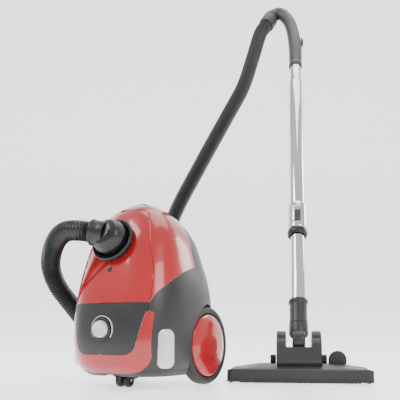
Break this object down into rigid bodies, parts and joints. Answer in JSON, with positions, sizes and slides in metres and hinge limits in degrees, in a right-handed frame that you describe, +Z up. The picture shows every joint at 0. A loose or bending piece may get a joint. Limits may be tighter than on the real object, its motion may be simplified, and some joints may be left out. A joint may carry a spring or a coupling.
{
  "type": "canister vacuum cleaner",
  "caption": "Canister vacuum cleaner with a corrugated hose, hooked handle, telescopic wand and tilting floor head.",
  "frame": {"origin": "on the floor below the centre of the object's box, hose left out", "axes": "+Z up; the canister's nose points along -Y; +X is the power pedal's side"},
  "size_m": [0.5938, 0.8152, 1.0372],
  "materials": {
    "red_gloss": "glossy",
    "dark_plastic": "fine texture",
    "black_plastic": "satin",
    "tyre": "matt",
    "silver_plastic": "metallic satin",
    "chrome": "polished",
    "grey_plastic": "satin",
    "steel": "brushed",
    "motor_iron": "machined",
    "hose_rubber": "satin",
    "bristle": "matt",
    "paper": "matt",
    "filter": "matt"
  },
  "bodies": {
    "root": {"casing": "dark_plastic", "base_pan": "dark_plastic", "front_trim": "red_gloss", "control_panel": "dark_plastic", "knob_ring": "black_plastic", "top_cover": "red_gloss", "lid_hinge_pin": "steel", "power_pedal_spring": "steel", "rewind_pedal_spring": "steel", "axle_left": "steel", "axle_right": "steel", "bulkhead": "grey_plastic", "dust_bag": "paper", "bag_holder": "filter", "motor_housing": "motor_iron", "motor_filter": "filter", "circuit_board": "filter", "exhaust_grille": "black_plastic", "exhaust_filter": "filter", "cord_gland": "black_plastic", "hose_tube": "hose_rubber", "handle_grip": "grey_plastic", "wand_spigot": "chrome", "upper_tube": "chrome", "lock_sleeve": "chrome", "lock_ring": "black_plastic"},
    "lid": {"lid": "red_gloss", "bag_full_indicator": "black_plastic", "hose_socket": "black_plastic", "hose_elbow": "black_plastic"},
    "latch": {"lid_latch": "red_gloss"},
    "handle": {"carry_handle": "dark_plastic"},
    "knob": {"power_knob": "silver_plastic"},
    "power_pedal": {"power_pedal": "silver_plastic"},
    "rewind_pedal": {"rewind_pedal": "silver_plastic"},
    "wheel_left": {"wheel_left": "tyre", "hub_cover_left": "red_gloss"},
    "wheel_right": {"wheel_right": "tyre", "hub_cover_right": "red_gloss"},
    "caster": {"caster_fork": "dark_plastic", "caster_axle": "steel"},
    "caster_wheels": {"caster_wheel_left": "tyre", "caster_wheel_right": "tyre"},
    "rotor": {"fan": "motor_iron", "motor_armature": "motor_iron"},
    "reel": {"cord_reel": "grey_plastic"},
    "hose_collar": {"hose_collar": "grey_plastic"},
    "slider": {"suction_slider": "black_plastic"},
    "lock_button": {"lock_button": "grey_plastic"},
    "lower_wand": {"lower_tube": "chrome", "neck_tube": "dark_plastic"},
    "elbow": {"neck_elbow": "dark_plastic"},
    "head": {"head_base": "dark_plastic", "sole_plate": "steel", "head_hood": "dark_plastic"},
    "roller_left": {"head_roller_left": "black_plastic"},
    "roller_right": {"head_roller_right": "black_plastic"},
    "brush_pedal": {"brush_pedal": "dark_plastic"},
    "brushes": {"brush_strip_front": "bristle", "brush_strip_rear": "bristle"}
  },
  "joints": [
    {"name": "lid_hinge", "type": "hinge", "parent": "root", "child": "lid", "pos_m": [-0.13742, -0.30481, 0.334], "axis": [-1, 0, 0], "range_deg": [0, 70], "deforming": ["hose_tube"]},
    {"name": "lid_latch_press", "type": "slide", "parent": "lid", "child": "latch", "axis": [0, 1, 0], "range_m": [0, 0.003], "stiffness_N_per_m": 600},
    {"name": "carry_handle_lift", "type": "slide", "parent": "root", "child": "handle", "axis": [0, 0, 1], "range_m": [0, 0.012]},
    {"name": "power_knob_turn", "type": "hinge", "parent": "root", "child": "knob", "pos_m": [-0.13742, -0.38881, 0.108], "axis": [0, -1, 0], "range_deg": [-130, 130]},
    {"name": "power_pedal_press", "type": "slide", "parent": "root", "child": "power_pedal", "axis": [-0.8387, 0.5446, 0], "range_m": [0, 0.004], "stiffness_N_per_m": 900, "deforming": ["power_pedal_spring"]},
    {"name": "rewind_pedal_press", "type": "slide", "parent": "root", "child": "rewind_pedal", "axis": [0.8387, 0.5446, 0], "range_m": [0, 0.004], "stiffness_N_per_m": 900, "deforming": ["rewind_pedal_spring"]},
    {"name": "wheel_right_spin", "type": "hinge", "parent": "root", "child": "wheel_right", "pos_m": [-0.04442, -0.18881, 0.077], "axis": [1, 0, 0], "continuous": true},
    {"name": "wheel_left_spin", "type": "hinge", "parent": "root", "child": "wheel_left", "pos_m": [-0.23042, -0.18881, 0.077], "axis": [1, 0, 0], "continuous": true},
    {"name": "caster_swivel", "type": "hinge", "parent": "root", "child": "caster", "pos_m": [-0.13742, -0.33081, 0.02], "axis": [0, 0, 1], "continuous": true},
    {"name": "caster_roll", "type": "hinge", "parent": "caster", "child": "caster_wheels", "pos_m": [-0.13742, -0.32181, 0.013], "axis": [1, 0, 0], "continuous": true},
    {"name": "motor_spin", "type": "hinge", "parent": "root", "child": "rotor", "pos_m": [-0.13742, -0.22081, 0.15], "axis": [0, 1, 0], "continuous": true},
    {"name": "cord_reel_spin", "type": "hinge", "parent": "root", "child": "reel", "pos_m": [-0.13742, -0.22681, 0.246], "axis": [0, 1, 0], "continuous": true},
    {"name": "hose_collar_turn", "type": "hinge", "parent": "root", "child": "hose_collar", "pos_m": [-0.14859, 0.36135, 0.99404], "axis": [-0.2327, -0.5333, -0.8133], "continuous": true},
    {"name": "suction_slide", "type": "slide", "parent": "root", "child": "slider", "axis": [-0.1702, 0.4108, 0.8957], "range_m": [0, 0.024]},
    {"name": "lock_button_slide", "type": "slide", "parent": "root", "child": "lock_button", "axis": [-0.1702, 0.4108, 0.8957], "range_m": [0, 0.011], "stiffness_N_per_m": 500},
    {"name": "wand_telescope", "type": "slide", "parent": "root", "child": "lower_wand", "axis": [-0.1702, 0.4108, 0.8957], "range_m": [-0.1, 0.16]},
    {"name": "neck_swivel", "type": "hinge", "parent": "lower_wand", "child": "elbow", "pos_m": [0.09358, -0.02731, 0.084], "axis": [-0.1702, 0.4108, 0.8957], "range_deg": [-10, 10]},
    {"name": "head_tilt", "type": "hinge", "parent": "elbow", "child": "head", "pos_m": [0.09358, -0.02731, 0.084], "axis": [0.9239, 0.3827, 0], "range_deg": [-30, 40]},
    {"name": "head_roller_right_spin", "type": "hinge", "parent": "head", "child": "roller_right", "pos_m": [0.13535, 0.01164, 0.043], "axis": [0.9239, 0.3827, 0], "continuous": true},
    {"name": "head_roller_left_spin", "type": "hinge", "parent": "head", "child": "roller_left", "pos_m": [0.0365, -0.02931, 0.043], "axis": [0.9239, 0.3827, 0], "continuous": true},
    {"name": "brush_pedal_press", "type": "hinge", "parent": "head", "child": "brush_pedal", "pos_m": [0.16565, 0.00904, 0.036], "axis": [0.9239, 0.3827, 0], "range_deg": [0, 14]},
    {"name": "brush_lift", "type": "slide", "parent": "head", "child": "brushes", "axis": [0, 0, 1], "range_m": [0, 0.0053]}
  ],
  "couplings": [
    {"joint": "brush_lift", "follows": "brush_pedal_press", "m_per_rad": 0.0215}
  ]
}
